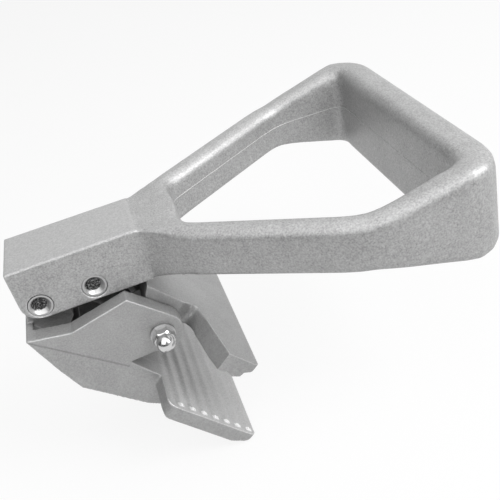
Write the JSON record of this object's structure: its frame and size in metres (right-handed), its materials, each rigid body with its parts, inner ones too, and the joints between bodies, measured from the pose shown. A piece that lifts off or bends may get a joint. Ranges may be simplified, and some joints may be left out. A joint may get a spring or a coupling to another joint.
{
  "type": "panel carrier",
  "caption": "One-hand panel carrier: a cast loop handle whose link closes a short toothed jaw on a wide ridged pad, gripping a panel's edge when lifted",
  "frame": {"origin": "middle of the outer jaw's gripping face, on the flat strip between its ridges, with the jaws fully open", "axes": "+X runs along the stem from the pivots to the grip, +Z leaves the stem's flat top, +Y makes it right-handed; the side with the cap nut is -Y"},
  "size_m": [0.2196, 0.1664, 0.1318],
  "materials": {
    "cast_aluminium": "blasted casting, fine grain, matt",
    "bright_steel": "turned, bright",
    "rolled_steel": "plain rolled plate",
    "bronze": "sintered bush",
    "zinc_plated_steel": "bright zinc plate",
    "chromed_nut": "polished dome, satin flats"
  },
  "bodies": {
    "handle": {"handle": "cast_aluminium", "outer_jaw_pin": "bright_steel", "link_upper_pin": "bright_steel"},
    "outer_jaw": {"outer_jaw": "cast_aluminium", "outer_jaw_bush_near": "bronze", "outer_jaw_bush_far": "bronze", "pivot_bolt": "zinc_plated_steel", "pivot_washer_near": "zinc_plated_steel", "pivot_washer_far": "zinc_plated_steel", "cap_nut": "chromed_nut"},
    "inner_jaw": {"inner_jaw": "cast_aluminium", "inner_jaw_bush_near": "bronze", "inner_jaw_bush_far": "bronze", "link_lower_pin": "bright_steel", "link_pin_clips": "bright_steel"},
    "link": {"link_plate_near": "rolled_steel", "link_plate_far": "rolled_steel", "link_centre_spacer": "rolled_steel", "link_side_spacer_near": "rolled_steel", "link_side_spacer_far": "rolled_steel"}
  },
  "joints": [
    {"name": "outer_jaw_hinge", "type": "hinge", "parent": "handle", "child": "outer_jaw", "pos_m": [-0.05648, 0, 0.07668], "axis": [0, 1, 0], "range_deg": [0, 14.2]},
    {"name": "inner_jaw_hinge", "type": "hinge", "parent": "outer_jaw", "child": "inner_jaw", "pos_m": [-0.00788, 0, 0.04408], "axis": [0, 1, 0], "range_deg": [0, 35]},
    {"name": "link_hinge", "type": "hinge", "parent": "handle", "child": "link", "pos_m": [-0.03008, 0, 0.07668], "axis": [0, 1, 0], "range_deg": [0, 6.5]}
  ],
  "couplings": [
    {"joint": "inner_jaw_hinge", "follows": "outer_jaw_hinge", "ratio": 2.46},
    {"joint": "link_hinge", "follows": "outer_jaw_hinge", "ratio": 0.45}
  ]
}
